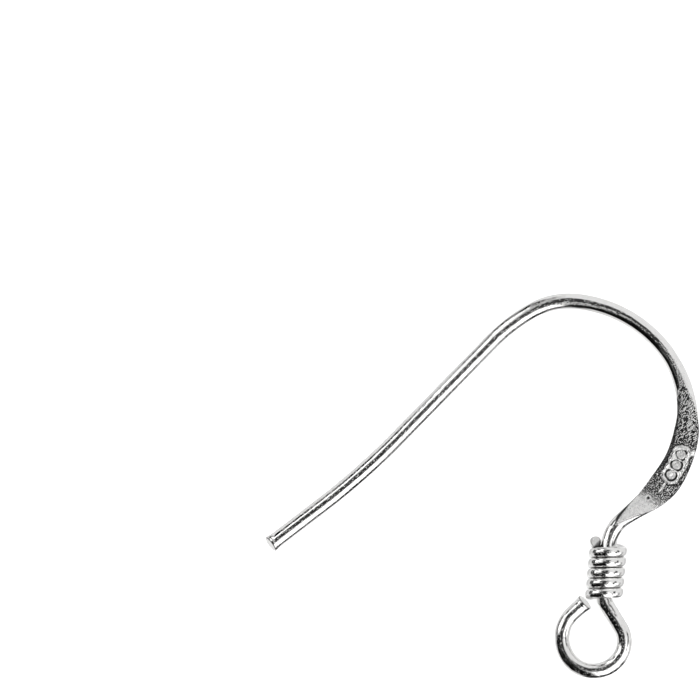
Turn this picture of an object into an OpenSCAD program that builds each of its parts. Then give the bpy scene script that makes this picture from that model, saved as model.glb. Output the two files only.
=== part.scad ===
// French hook ear wire with a wound wrap above its hanging loop, in millimetres.
// It lies on its side on a flat surface, as it comes to rest there by itself. The free tip, the
// shoulder of the arch and the thicker wrap touch the surface, so the hook leans a few degrees.
// +Z is up, and the origin is under the middle of the part, on the surface.

/* [Wire] */
// Diameter of the round wire of the hook
wire_d = 0.7; // [0.55:0.05:0.9]

/* [Neck] */
// How far inside each end of the wrap the wire starts to bend
bend_inset = 0.08; // [0:0.02:0.2]
// Radius of the bend above the wrap
neck_bend_r = 1.75; // [1.2:0.05:3]
// Angle of the bend above the wrap, in degrees
neck_bend = 47.5; // [35:0.5:60]
// Straight length from that bend to the front bend
neck_rise = 1.2; // [0.6:0.1:2.5]

/* [Hook] */
// Radius of the front bend, where the wire is pressed flat
front_r = 5.1; // [4:0.1:7]
// Angle of the front bend, in degrees
front_turn = 95; // [85:1:105]
// Radius of the arch
arch_r = 5.9; // [4.5:0.1:8]
// Angle of the arch, in degrees
arch_turn = 43; // [30:1:55]
// Radius of the crown, the tightest part of the arch
crown_r = 3.5; // [2.5:0.1:6]
// Angle of the crown, in degrees
crown_turn = 34.5; // [25:0.5:45]
// Radius of the shoulder, between the crown and the arm
shoulder_r = 8.5; // [6:0.1:12]
// Angle of the shoulder, in degrees
shoulder_turn = 16; // [10:1:25]
// Straight length of the arm
arm_len = 6.2; // [4:0.1:9]
// Radius of the slight bend that turns the tip outwards
tip_bend_r = 33; // [20:1:50]
// Angle of that bend, in degrees
tip_bend = 8.3; // [2:0.1:12]
// Straight length of the free tip
tip_len = 3.1; // [2:0.1:6]

/* [Pressed flat] */
// Length of the pressed stretch along the wire
flat_len = 8.9; // [7:0.1:10]
// Width of the pressed stretch at its widest
flat_w = 1.38; // [1.1:0.02:1.8]
// Share of the widening that lies on the outer side of the bend
flat_outer_share = 0.55; // [0.4:0.01:0.6]

/* [Hanging loop] */
// Radius of the loop at its bottom, to the middle of the wire
loop_r = 1.46; // [1.3:0.02:2.2]
// Radius of the bend below the wrap
loop_bend_r = 0.82; // [0.6:0.02:1.2]
// Angle of the bend below the wrap, in degrees
loop_bend = 37; // [30:1:45]
// Gap between the cut end of the loop and the last turn of the wrap
loop_gap = 0.09; // [0.04:0.01:0.3]

/* [Wrap] */
// Diameter of the wrap's wire
wrap_wire_d = 0.465; // [0.35:0.005:0.6]
// Number of turns
wrap_turns = 5.1; // [3.1:0.5:8.1]
// Gap between one turn and the next
turn_gap = 0.015; // [0.01:0.005:0.05]
// Clearance between the hook's wire and the inside of the wrap
wrap_clear = 0.06; // [0.04:0.01:0.12]
// Side on which the wrap's lower end is cut, in degrees from the front
wrap_end_angle = -100; // [-130:5:-70]

/* [Hidden] */
$fn = 64;

// Corners of the wire's section, and the largest bend from one ring of corners to the next
WIRE_SIDES = 20;
RING_BEND = 6;
FLAT_RINGS = 40;
WRAP_SIDES = 10;
WRAP_RINGS_PER_TURN = 24;
// The meshed wire ends this far inside the round tip, and enters it at this share of its width
TIP_SEAT = 0.05;
SEAT_SLIM = 0.97;
// Samples along the wire, to find where the part touches the surface
SAMPLES = 80;

// Sizes of the wrap that follow from those above
wrap_pitch = wrap_wire_d + turn_gap;
wrap_len = wrap_turns * wrap_pitch;
wrap_mid_r = wire_d / 2 + wrap_clear + wrap_wire_d / 2;
wrap_out_r = wrap_mid_r + wrap_wire_d / 2;
neck_half = wrap_len / 2 - bend_inset;

// Columns of the bend tables: a straight length, then a bend to the left of a radius and an angle
STRAIGHT = 0;
RADIUS = 1;
TURN = 2;

// From the middle of the wrap up the neck and over the arch, to the start of the free tip
hook_bends = [
    [neck_half, neck_bend_r,   -neck_bend],
    [neck_rise, front_r,        front_turn],
    [0,         arch_r,         arch_turn],
    [0,         crown_r,        crown_turn],
    [0,         shoulder_r,     shoulder_turn],
    [arm_len,   tip_bend_r,    -tip_bend],
];

// From the middle of the wrap down the neck and round the loop, with shares of its radius
loop_bends = [
    [neck_half,      loop_bend_r,    loop_bend],
    [0.82 * loop_r,  0.88 * loop_r, -67.5],
    [0,              1.00 * loop_r, -113],
    [0,              1.08 * loop_r, -79.5],
];

// A pose is [x, y, heading]. A run is [length, curvature, mark, pose]: the curvature is above 0
// to the left, and the mark and the pose are the distance along the wire and the place it starts.
HEADING = 2;
LENGTH = 0;
CURVE = 1;
MARK = 2;
POSE = 3;

// The pose at a distance along a run
function moved(pose, distance, curve) =
    let (heading = pose[HEADING] + distance * curve * 180 / PI)
    curve == 0
        ? [pose.x + distance * cos(heading), pose.y + distance * sin(heading), heading]
        : [pose.x + (sin(heading) - sin(pose[HEADING])) / curve,
           pose.y - (cos(heading) - cos(pose[HEADING])) / curve,
           heading];

// Straight and bent stretches of a bend table
function stretches(bends) = [
    for (bend = bends, bent = [false, true])
        let (stretch = bent
                ? [bend[RADIUS] * abs(bend[TURN]) * PI / 180, sign(bend[TURN]) / bend[RADIUS]]
                : [bend[STRAIGHT], 0])
        if (stretch[LENGTH] > 0) stretch
];

// The same stretches as runs, each starting where the one before it ends
function chained(parts, pose, mark = 0, i = 0) =
    i == len(parts) ? []
    : let (run = parts[i], next = moved(pose, run[LENGTH], run[CURVE]))
      concat([[run[LENGTH], run[CURVE], mark, pose]],
             chained(parts, next, mark + run[LENGTH], i + 1));

function end_mark(runs) = let (run = runs[len(runs) - 1]) run[MARK] + run[LENGTH];

function pose_at(runs, mark, i = 0) =
    i < len(runs) - 1 && mark > runs[i + 1][MARK] ? pose_at(runs, mark, i + 1)
    : moved(runs[i][POSE], mark - runs[i][MARK], runs[i][CURVE]);

UP = [0, 0, 90];
DOWN = [0, 0, -90];
hook_runs = chained(stretches(hook_bends), UP);

// The loop ends in a straight tail, as long as the wrap's last turn leaves room for
bent_loop = chained(stretches(loop_bends), DOWN);
tail_pose = pose_at(bent_loop, end_mark(bent_loop));
tail_way = [cos(tail_pose[HEADING]), sin(tail_pose[HEADING])];
last_turn = [wrap_mid_r * sin(wrap_end_angle), -wrap_len / 2];
tail_room = (last_turn - [tail_pose.x, tail_pose.y]) * tail_way - wrap_wire_d / 2 - loop_gap;
loop_runs = chained(concat(stretches(loop_bends), [[tail_room, 0]]), DOWN);

// The pressed stretch starts near the end of the bend above the wrap
FLAT_START_SHARE = 0.82;
flat_start = hook_runs[1][MARK] + FLAT_START_SHARE * hook_runs[1][LENGTH];
flat_end = flat_start + flat_len;

// Columns of the pressing table: share of the pressed length, share of the widening
PLACE = 0;
WIDENING = 1;
pressing = [
    [0.00, 0.00],
    [0.08, 0.14],
    [0.16, 0.43],
    [0.24, 0.80],
    [0.32, 1.00],
    [0.45, 0.87],
    [0.60, 0.71],
    [0.69, 0.43],
    [0.80, 0.22],
    [0.90, 0.10],
    [1.00, 0.00],
];

// Slope of the pressing curve at a row, level at both ends
function press_slope(i) =
    i == 0 || i == len(pressing) - 1 ? 0
    : (pressing[i + 1][WIDENING] - pressing[i - 1][WIDENING])
      / (pressing[i + 1][PLACE] - pressing[i - 1][PLACE]);

// Smooth curve through the rows of the pressing table
function widening(share, i = 0) =
    i < len(pressing) - 2 && share > pressing[i + 1][PLACE] ? widening(share, i + 1)
    : let (a = pressing[i],
           b = pressing[i + 1],
           step = b[PLACE] - a[PLACE],
           t = (share - a[PLACE]) / step,
           t2 = t * t,
           t3 = t2 * t)
      (2 * t3 - 3 * t2 + 1) * a[WIDENING] + (t3 - 2 * t2 + t) * step * press_slope(i)
      + (3 * t2 - 2 * t3) * b[WIDENING] + (t3 - t2) * step * press_slope(i + 1);

// Width of the hook's wire at a mark, seen from above
function width_at(mark) =
    let (share = (mark - flat_start) / flat_len)
    share <= 0 || share >= 1 ? wire_d : wire_d + (flat_w - wire_d) * widening(share);

// Pressing keeps the area of the wire's section, which becomes a bar with half-round edges
function pressed_to(width) =
    let (corner = 1 - PI / 4, area = PI * wire_d * wire_d / 4)
    (width - sqrt(max(width * width - 4 * corner * area, 0))) / (2 * corner);

// One ring of corners round the wire, clockwise seen along the wire. The outer side of the
// hook's bends is on the right, seen along the wire.
function wire_ring(pose, width, slim = 1) =
    let (edge_r = pressed_to(width) / 2,
         outward = (flat_outer_share - 0.5) * (width - wire_d))
    [for (i = [0 : WIRE_SIDES - 1])
        let (angle = 90 - (i + 0.5) * 360 / WIRE_SIDES,
             edge = (i < WIRE_SIDES / 2 ? 1 : -1) * (width / 2 - edge_r),
             across = outward + edge + slim * edge_r * cos(angle))
        [pose.x + across * sin(pose[HEADING]),
         pose.y - across * cos(pose[HEADING]),
         slim * edge_r * sin(angle)]];

// Marks of the rings along the part of the runs that lies between two marks
function ring_marks(runs, from, to) = [
    for (run = runs)
        let (a = max(from, run[MARK]),
             b = min(to, run[MARK] + run[LENGTH]),
             steps = ceil(max((b - a) * abs(run[CURVE]) * 180 / PI / RING_BEND, 1)))
        if (b > a)
            for (i = [0 : steps - 1]) a + (b - a) * i / steps
];

function turned_round(pose) = [pose.x, pose.y, pose[HEADING] + 180];

// Rings from the loop's cut end up to the neck, then over the hook and into the round tip
tip_mark = end_mark(hook_runs);
tip_pose = pose_at(hook_runs, tip_mark);
loop_marks = concat(ring_marks(loop_runs, 0, end_mark(loop_runs)), [end_mark(loop_runs)]);
hook_marks = concat(
    ring_marks(hook_runs, 0, flat_start),
    [for (i = [0 : FLAT_RINGS - 1]) flat_start + flat_len * i / FLAT_RINGS],
    ring_marks(hook_runs, flat_end, tip_mark)
);
wire_rings = concat(
    [for (i = [len(loop_marks) - 1 : -1 : 1])
        wire_ring(turned_round(pose_at(loop_runs, loop_marks[i])), wire_d)],
    [for (mark = hook_marks) wire_ring(pose_at(hook_runs, mark), width_at(mark))],
    [for (inside = [0, TIP_SEAT]) wire_ring(moved(tip_pose, inside, 0), wire_d, SEAT_SLIM)]
);

// One ring of corners round the wrap's wire, at an angle that grows from the front to the right
function wrap_ring(angle) =
    let (outward = [sin(angle), 0, cos(angle)],
         along = [wrap_mid_r * cos(angle), wrap_pitch / (2 * PI), -wrap_mid_r * sin(angle)],
         upward = cross(along, outward) / norm(along),
         rise = wrap_pitch * (angle - wrap_end_angle) / 360 - wrap_len / 2,
         middle = wrap_mid_r * outward + [0, rise, 0])
    [for (i = [0 : WRAP_SIDES - 1])
        let (a = (i + 0.5) * 360 / WRAP_SIDES)
        middle + wrap_wire_d / 2 * (cos(a) * outward + sin(a) * upward)];

wrap_steps = round(wrap_turns * WRAP_RINGS_PER_TURN);
wrap_rings = [
    for (i = [0 : wrap_steps]) wrap_ring(wrap_end_angle + 360 * wrap_turns * i / wrap_steps)
];

// How the part lies: the tip's end and the shoulder touch the surface along a line, and so does
// the back of the wrap's top turn, which is thicker and lifts its side of the hook.
tip_end = moved(tip_pose, tip_len, 0);
line_angle = max([
    for (i = [0 : SAMPLES])
        let (pose = pose_at(hook_runs, tip_mark * i / SAMPLES))
        atan2(pose.y - tip_end.y, pose.x - tip_end.x)
]);
line_way = [cos(line_angle), sin(line_angle), 0];
line_side = [sin(line_angle), -cos(line_angle), 0];
half_turn_past_front = 180;
turns_past_touch = (wrap_end_angle + 360 * wrap_turns - half_turn_past_front) % 360 / 360;
tip_foot = [tip_end.x, tip_end.y, 0];
wrap_foot = [0, wrap_len / 2 - turns_past_touch * wrap_pitch, 0];
lean = asin((wrap_out_r - wire_d / 2) / ((wrap_foot - tip_foot) * line_side));

// A place once the part leans, as seen from the tip's end
function leaned(place) =
    let (offset = place - tip_foot, side = offset * line_side)
    (offset * line_way) * line_way
    + (side * cos(lean) - offset.z * sin(lean)) * line_side
    + [0, 0, side * sin(lean) + offset.z * cos(lean)];

corners = [
    for (ring = concat(wire_rings, wrap_rings, [wire_ring(tip_end, wire_d)]), place = ring)
        leaned(place)
];
low = [for (axis = [0 : 2]) min([for (corner = corners) corner[axis]])];
high = [for (axis = [0 : 2]) max([for (corner = corners) corner[axis]])];

// Skin over rings with the same number of corners, with a flat cap on each end
module skin(rings) {
    sides = len(rings[0]);
    last = (len(rings) - 1) * sides;
    points = [for (ring = rings, point = ring) point];
    walls = [
        for (start = [0 : sides : last - sides], j = [0 : sides - 1])
            let (a = start + j, b = start + (j + 1) % sides)
            for (face = [[a, a + sides, b], [b, a + sides, b + sides]]) face
    ];
    first_cap = [for (j = [0 : sides - 1]) j];
    last_cap = [for (j = [sides - 1 : -1 : 0]) last + j];
    polyhedron(points, concat(walls, [first_cap, last_cap]));
}

// Lays what is drawn round the middle of the wrap on the surface, over the origin
module lying() {
    translate([-(low.x + high.x) / 2, -(low.y + high.y) / 2, -low.z])
        rotate(a = -lean, v = line_way)
            translate(-tip_foot)
                children();
}

// The hook's wire in one piece: loop, neck, pressed front, arch, arm and free tip
module ear_hook() {
    color("silver")
        lying()
            union() {
                skin(wire_rings);
                translate([tip_pose.x, tip_pose.y, 0])
                    rotate([0, 90, tip_pose[HEADING]])
                        cylinder(d = wire_d, h = tip_len);
            }
}

// The wire wound round the neck
module wire_wrap() {
    color("gainsboro")
        lying()
            skin(wrap_rings);
}

ear_hook();
wire_wrap();
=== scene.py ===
import math

import bpy
import numpy as np
from mathutils import Euler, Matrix, Quaternion, Vector, noise


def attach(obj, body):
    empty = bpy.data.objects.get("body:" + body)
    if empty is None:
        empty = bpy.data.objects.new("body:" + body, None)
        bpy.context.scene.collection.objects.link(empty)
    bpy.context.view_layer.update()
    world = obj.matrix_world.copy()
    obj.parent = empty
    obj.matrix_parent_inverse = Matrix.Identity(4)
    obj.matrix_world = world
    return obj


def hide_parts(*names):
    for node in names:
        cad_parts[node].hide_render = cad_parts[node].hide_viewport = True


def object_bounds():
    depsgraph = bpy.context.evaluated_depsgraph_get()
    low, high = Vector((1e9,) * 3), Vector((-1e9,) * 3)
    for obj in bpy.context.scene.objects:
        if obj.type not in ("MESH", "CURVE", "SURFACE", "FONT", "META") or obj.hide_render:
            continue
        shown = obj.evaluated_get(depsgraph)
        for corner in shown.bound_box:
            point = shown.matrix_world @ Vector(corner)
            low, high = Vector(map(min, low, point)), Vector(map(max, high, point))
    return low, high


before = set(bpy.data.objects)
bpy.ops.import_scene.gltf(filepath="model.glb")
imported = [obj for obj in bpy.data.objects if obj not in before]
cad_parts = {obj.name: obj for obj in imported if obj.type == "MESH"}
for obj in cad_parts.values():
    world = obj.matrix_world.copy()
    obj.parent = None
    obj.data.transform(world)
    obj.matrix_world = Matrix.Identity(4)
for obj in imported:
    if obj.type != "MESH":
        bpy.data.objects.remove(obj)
cad_low, cad_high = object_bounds()

MM = 0.001

# Sizes of the part, in millimetres and degrees
WIRE_D = 0.7
WRAP_WIRE_D = 0.465
WRAP_TURNS = 5.1
TURN_GAP = 0.015
WRAP_CLEAR = 0.06
WRAP_END_ANGLE = -100
BEND_INSET = 0.08
LOOP_R = 1.46
LOOP_GAP = 0.09
TIP_LEN = 3.1
FLAT_LEN = 8.9
FLAT_W = 1.38
FLAT_OUTER_SHARE = 0.55
FLAT_START_SHARE = 0.82

# Sizes worked out from them
WRAP_PITCH = WRAP_WIRE_D + TURN_GAP
WRAP_LEN = WRAP_TURNS * WRAP_PITCH
WRAP_MID_R = WIRE_D / 2 + WRAP_CLEAR + WRAP_WIRE_D / 2
WRAP_OUT_R = WRAP_MID_R + WRAP_WIRE_D / 2
WRAP_WIRE_LEN = math.radians(360 * WRAP_TURNS) * WRAP_MID_R
NECK_HALF = WRAP_LEN / 2 - BEND_INSET

# Bends of the wire from the middle of the wrap, each a straight length and then a bend, as its
# radius and its turn to the left
HOOK_BENDS = (
    (NECK_HALF, 1.75, -47.5),
    (1.2, 5.1, 95),
    (0, 5.9, 43),
    (0, 3.5, 34.5),
    (0, 8.5, 16),
    (6.2, 33, -8.3),
)
LOOP_BENDS = (
    (NECK_HALF, 0.82, 37),
    (0.82 * LOOP_R, 0.88 * LOOP_R, -67.5),
    (0, 1.00 * LOOP_R, -113),
    (0, 1.08 * LOOP_R, -79.5),
)

# The pressed stretch: a place as a share of its length, and a share of the full widening
PRESSING = (
    (0.00, 0.00),
    (0.08, 0.14),
    (0.16, 0.43),
    (0.24, 0.80),
    (0.32, 1.00),
    (0.45, 0.87),
    (0.60, 0.71),
    (0.69, 0.43),
    (0.80, 0.22),
    (0.90, 0.10),
    (1.00, 0.00),
)
# The rounded edges beside the flat face, as shares of half the wire's width: mark, inner edge and
# outer edge. Both are 1 where the wire is round.
EDGES = (
    (1.40, 1.00, 1.00),
    (2.20, 0.85, 0.92),
    (2.70, 0.45, 0.75),
    (3.20, 0.20, 0.48),
    (3.80, 0.08, 0.14),
    (4.60, 0.05, 0.07),
    (8.20, 0.05, 0.07),
    (8.80, 0.12, 0.26),
    (9.20, 0.25, 0.45),
    (9.80, 0.60, 0.80),
    (11.00, 0.80, 0.95),
    (13.00, 0.80, 0.90),
    (17.00, 0.80, 0.80),
    (19.00, 1.00, 1.00),
)


def eased(x, low, high):
    """0 below low, 1 above high, and smooth in between."""
    t = np.clip((np.asarray(x, float) - low) / (high - low), 0, 1)
    return t * t * (3 - 2 * t)


def faded(x, low, high):
    """1 below low, 0 above high, and smooth in between."""
    return 1 - eased(x, low, high)


def stretch(x, start, full, fading, end):
    """1 from full to fading, 0 before start and after end, and smooth in between."""
    return eased(x, start, full) * faded(x, fading, end)


# The way of the wire. A mark is a place on it, in millimetres from the middle of the wrap: above 0
# towards the tip, and below 0 round the loop. A pose is (x, y, heading) in the plane of the hook.


def moved(pose, distance, curve):
    """The pose further along a straight line, or along an arc where curve isn't 0."""
    x, y, heading = pose
    end = heading + math.degrees(distance * curve)
    a, b = math.radians(heading), math.radians(end)
    if curve == 0:
        return (x + distance * math.cos(a), y + distance * math.sin(a), heading)
    return (x + (math.sin(b) - math.sin(a)) / curve, y - (math.cos(b) - math.cos(a)) / curve, end)


def runs_of(bends, pose):
    """The runs of a bend table as (mark, curve, pose), then the mark and the pose at their end."""
    runs, mark = [], 0
    for straight, radius, turn in bends:
        bend_len = radius * math.radians(abs(turn))
        for length, curve in ((straight, 0), (bend_len, math.copysign(1 / radius, turn))):
            if length > 0:
                runs.append((mark, curve, pose))
                pose = moved(pose, length, curve)
                mark += length
    return runs, mark, pose


def pose_at(runs, mark):
    start, curve, pose = [run for run in runs if run[0] <= max(mark, 0)][-1]
    return moved(pose, mark - start, curve)


HOOK_RUNS, TIP_MARK, TIP_POSE = runs_of(HOOK_BENDS, (0, 0, 90))
LOOP_RUNS, BENT_END, TAIL_POSE = runs_of(LOOP_BENDS, (0, 0, -90))
HOOK_RUNS.append((TIP_MARK, 0, TIP_POSE))
LOOP_RUNS.append((BENT_END, 0, TAIL_POSE))


def loop_end():
    """How far round the loop its cut end is, a gap away from the wrap's last turn."""
    x, y, heading = TAIL_POSE
    last_turn = (WRAP_MID_R * math.sin(math.radians(WRAP_END_ANGLE)), -WRAP_LEN / 2)
    way = (math.cos(math.radians(heading)), math.sin(math.radians(heading)))
    room = (last_turn[0] - x) * way[0] + (last_turn[1] - y) * way[1]
    return BENT_END + room - WRAP_WIRE_D / 2 - LOOP_GAP


LOOP_END = loop_end()
TIP_END = TIP_MARK + TIP_LEN
FLAT_START = HOOK_RUNS[1][0] + FLAT_START_SHARE * (HOOK_RUNS[2][0] - HOOK_RUNS[1][0])


def wire_pose(mark):
    """Pose of the whole wire, at any mark from the loop's cut end to the tip."""
    if mark >= 0:
        return pose_at(HOOK_RUNS, mark)
    x, y, heading = pose_at(LOOP_RUNS, -mark)
    return (x, y, heading + 180)


# How the part lies: the line from the tip to the shoulder and the wrap's back touch the surface
LIE_STEPS = 80


def lie():
    """The tip's place, the way of the line and of its side, and the lean."""
    tip = pose_at(HOOK_RUNS, TIP_END)
    poses = [pose_at(HOOK_RUNS, TIP_MARK * i / LIE_STEPS) for i in range(LIE_STEPS + 1)]
    angle = max(math.atan2(pose[1] - tip[1], pose[0] - tip[0]) for pose in poses)
    way = np.array((math.cos(angle), math.sin(angle), 0))
    side = np.array((math.sin(angle), -math.cos(angle), 0))
    past_touch = (WRAP_END_ANGLE + 360 * WRAP_TURNS - 180) % 360 / 360
    wrap_foot = np.array((0, WRAP_LEN / 2 - past_touch * WRAP_PITCH, 0))
    foot = np.array((tip[0], tip[1], 0))
    lean = math.asin((WRAP_OUT_R - WIRE_D / 2) / float((wrap_foot - foot) @ side))
    return foot, way, side, lean


FOOT, LINE_WAY, LINE_SIDE, LEAN = lie()


def leaned(points):
    """Points about the plane of the hook, turned about the line that the part lies on."""
    offset = np.asarray(points, float) - FOOT
    along, side, up = offset @ LINE_WAY, offset @ LINE_SIDE, offset[..., 2]
    sideways = side * math.cos(LEAN) - up * math.sin(LEAN)
    upward = side * math.sin(LEAN) + up * math.cos(LEAN)
    flat = along[..., None] * LINE_WAY + sideways[..., None] * LINE_SIDE
    return flat + upward[..., None] * np.array((0, 0, 1.0))


# The wire's section. It is an oval, cut off flat above and below where the wire is pressed.


def widening(share):
    """Smooth curve through the pressing table, level at both ends."""
    place, value = np.array(PRESSING).T
    slope = np.zeros(len(place))
    slope[1:-1] = (value[2:] - value[:-2]) / (place[2:] - place[:-2])
    i = np.clip(np.searchsorted(place, share, side="left") - 1, 0, len(place) - 2)
    step = place[i + 1] - place[i]
    t = (share - place[i]) / step
    return (
        (2 * t**3 - 3 * t**2 + 1) * value[i]
        + (t**3 - 2 * t**2 + t) * step * slope[i]
        + (3 * t**2 - 2 * t**3) * value[i + 1]
        + (t**3 - t**2) * step * slope[i + 1]
    )


def width_at(mark):
    share = (mark - FLAT_START) / FLAT_LEN
    if not 0 < share < 1:
        return WIRE_D
    return WIRE_D + (FLAT_W - WIRE_D) * float(widening(share))


def height_for(width):
    """Pressing keeps the area of the section, as a bar with half-round edges."""
    corner, area = 1 - math.pi / 4, math.pi * WIRE_D**2 / 4
    return (width - math.sqrt(max(width**2 - 4 * corner * area, 0))) / (2 * corner)


def outward_of(width):
    """How far the middle of a pressed section lies towards the outer side."""
    return (FLAT_OUTER_SHARE - 0.5) * (width - WIRE_D)


def edges_at(mark):
    """Breadth of the inner and of the outer rounded edge."""
    place, inner, outer = np.array(EDGES).T
    half = width_at(mark) / 2
    return half * float(np.interp(mark, place, inner)), half * float(np.interp(mark, place, outer))


# The corners of a section: points of the outline that they are spaced along, the top as shares of
# the way round, and the corners on the top and on the rest
OUTLINE_STEPS = 720
TOP_SPAN = (0.05, 0.45)
TOP_POINTS = 66
OTHER_POINTS = 40


def turn_shares():
    """Places of the corners as shares of the way round, closer over the top."""
    top = np.linspace(*TOP_SPAN, TOP_POINTS, endpoint=False)
    rest = np.linspace(TOP_SPAN[1], 1 + TOP_SPAN[0], OTHER_POINTS, endpoint=False)
    return np.sort(np.concatenate([top, rest]) % 1)


SHARES = turn_shares()


def section(mark):
    """Corners of the wire's section as (across, up), from its inner side over the top and back."""
    width = width_at(mark)
    half, tall = width / 2, height_for(width) / 2
    inner, outer = edges_at(mark)
    angle = math.pi - np.linspace(0, 2 * math.pi, OUTLINE_STEPS + 1)
    side = np.cos(angle)
    across = np.where(side < 0, inner - half + inner * side, half - outer + outer * side)
    up = tall * np.sin(angle)
    way = np.concatenate([[0], np.cumsum(np.hypot(np.diff(across), np.diff(up)))])
    at = SHARES * way[-1]
    return np.interp(at, way, across) + outward_of(width), np.interp(at, way, up)


# The stamp, the dents and the marks on the flat face, in millimetres. ACROSS is a place across the
# wire, towards its outer side, and CELLS are the cells of a noise to the millimetre. LIMIT and WALL
# are the spans over which something fades. The panel's two halves are along the wire and across it.
PANEL_MARK = 6.14
PANEL_ACROSS = 0.04
PANEL_HALF = (0.88, 0.38)
PANEL_CORNER = 0.3
PANEL_UNEVEN = 0.08
PANEL_CELLS = 5
PANEL_LIMIT = (-0.04, 0.04)
PANEL_DEPTH = 0.02
PANEL_SWELL = 0.05
LIP_HALF = 0.08
LIP_CREST = 0.1 * LIP_HALF
LIP_HEIGHT = 0.04
RING_STEP = 0.52
RING_R = 0.165
RING_HALF = 0.042
RING_CREST = 0.2 * RING_HALF
RING_HEIGHT = 0.035
# The grooves beside the rings: the unevenness of their breadth and the least and most of it as
# shares, the strength of the inner one, and the span of their walls as shares of half the breadth
GROOVE_HALF = 0.040
GROOVE_DEPTH = 0.015
GROOVE_MEAN = 0.9
GROOVE_UNEVEN = 2.4
GROOVE_CELLS = 3.5
GROOVE_BREADTHS = (0.25, 1.4)
INNER_GROOVE = 0.25
GROOVE_WALL = (0.7, 1)
# The dents: their slanting way as mark and place across, and how much the noise is slowed along it
DENT_DEPTH = 0.005
DENT_CELLS = 13
DENT_WAY = (0.76, 0.65)
DENT_SLOWED = 0.4
DENT_WALL = (0.04, 0.2)
SCRATCH_DEPTH = 0.014
PIT_PLACE = (4.10, -0.06)
PIT_DEPTH = 0.03
PIT_WALL = (0.01, 0.08)

# Straight lines on the wire: both ends as mark and place across, half the breadth and the boldness
SCRATCH_ENDS = ((5.32, 0.02), (4.72, 0.08))
SCRATCH = (*SCRATCH_ENDS, 0.05, 1.0)
SCRATCH_SHINE = (*SCRATCH_ENDS, 0.065, 2.5)
EDGE_SHINE = ((6.80, 0.36), (6.90, 0.62), 0.18, 1.6)
ARCH_SHINE = ((10.50, -0.05), (12.20, 0.00), 0.035, 1.0)
NECK_SHADE = ((1.20, 0.23), (2.05, 0.33), 0.08, 1.0)
LEG_SHADE = ((-2.30, 0.12), (-1.05, 0.15), 0.08, 1.5)

# Stretches of the wire: the marks where they start, are full, fade and end
DENT_STRETCH = (6.8, 7.8, 9.2, 9.8)
CALM_STRETCH = (4.8, 5.8, 9.8, 10.4)
SIDE_STRETCH = (4.5, 4.9, 8.0, 8.4)
TONGUE_INNER_STRETCH = (2.1, 2.3, 4.2, 4.6)
TONGUE_OUTER_STRETCH = (2.2, 2.4, 3.3, 3.8)
POLISHED_STRETCH = (8.8, 9.8, 16.5, 18)

# Where the two finishes of the face lie: mark, inner limit, outer limit and strength
STIPPLE = (
    (3.80, -0.80, 0.80, 0.0),
    (4.50, -0.80, 0.80, 1.0),
    (8.20, -0.80, 0.80, 1.0),
    (8.40, -0.70, 0.52, 1.0),
    (9.20, -0.50, 0.28, 1.0),
    (9.90, -0.14, 0.10, 1.0),
    (10.60, -0.06, 0.06, 0.5),
    (11.60, -0.03, 0.06, 0.2),
    (12.20, -0.02, 0.05, 0.0),
)
SATIN = (
    (2.10, -0.04, 0.02, 0.0),
    (2.40, -0.12, 0.08, 1.0),
    (3.20, -0.36, 0.28, 1.0),
    (3.80, -0.50, 0.50, 1.0),
    (4.20, -0.60, 0.60, 1.0),
    (5.00, -0.60, 0.70, 1.0),
    (5.10, -0.60, 0.70, 0.0),
    (12.60, -0.06, 0.00, 0.0),
    (13.80, -0.10, -0.03, 0.5),
    (15.80, -0.15, -0.06, 0.8),
    (17.20, -0.17, -0.08, 0.8),
    (18.20, -0.16, -0.08, 0.0),
)
# How softly a finish starts past its limits, and how far its ends slant across the wire
FINISH_LIMIT = (-0.03, 0.03)
FINISH_SLANT = 0.3
# The smooth strip along the inner edge of the face, which also gets painted shade: mark and breadth
CALM = (
    (4.80, 0.00),
    (5.80, 0.21),
    (7.00, 0.20),
    (7.80, 0.12),
    (8.60, 0.10),
    (9.20, 0.14),
    (9.80, 0.22),
    (10.20, 0.10),
)
CALM_STRENGTH = 0.75
CALM_LIMIT = (-0.05, 0.05)
# The level at which the noise of wobble is cut
WOBBLE_LEVEL = 4.2


def wobble(mark, across, cells):
    """Smooth random values of about -0.5 to 0.5 over the straightened wire."""
    mark = np.broadcast_to(mark, np.shape(across))
    places = zip(mark.ravel().tolist(), np.ravel(across).tolist())
    return np.array([noise.noise(Vector((m, a, WOBBLE_LEVEL)) * cells) for m, a in places])


def panel_gap(mark, across):
    """How far outside the stamped panel's slightly uneven outline a corner lies."""
    x = np.abs(mark - PANEL_MARK) - PANEL_HALF[0] + PANEL_CORNER
    y = np.abs(across - PANEL_ACROSS) - PANEL_HALF[1] + PANEL_CORNER
    outside = np.hypot(np.maximum(x, 0), np.maximum(y, 0)) + np.minimum(np.maximum(x, y), 0)
    return outside - PANEL_CORNER + PANEL_UNEVEN * wobble(mark, across, PANEL_CELLS)


def ring_shares(mark, across):
    """How much of a raised ring, and of the grooves on both its sides, lies at each corner."""
    raised = groove = 0
    breadth = GROOVE_MEAN + GROOVE_UNEVEN * wobble(mark, across, GROOVE_CELLS)
    half = GROOVE_HALF * np.clip(breadth, *GROOVE_BREADTHS)
    for i in (-1, 0, 1):
        beyond = np.hypot(mark - PANEL_MARK - i * RING_STEP, across - PANEL_ACROSS) - RING_R
        away = np.abs(beyond)
        raised = raised + faded(away, RING_CREST, RING_HALF)
        weight = np.where(beyond > 0, 1.0, INNER_GROOVE)
        groove = groove + weight * faded(np.abs(away - RING_HALF - half) / half, *GROOVE_WALL)
    return raised, np.minimum(groove, 1)


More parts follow.
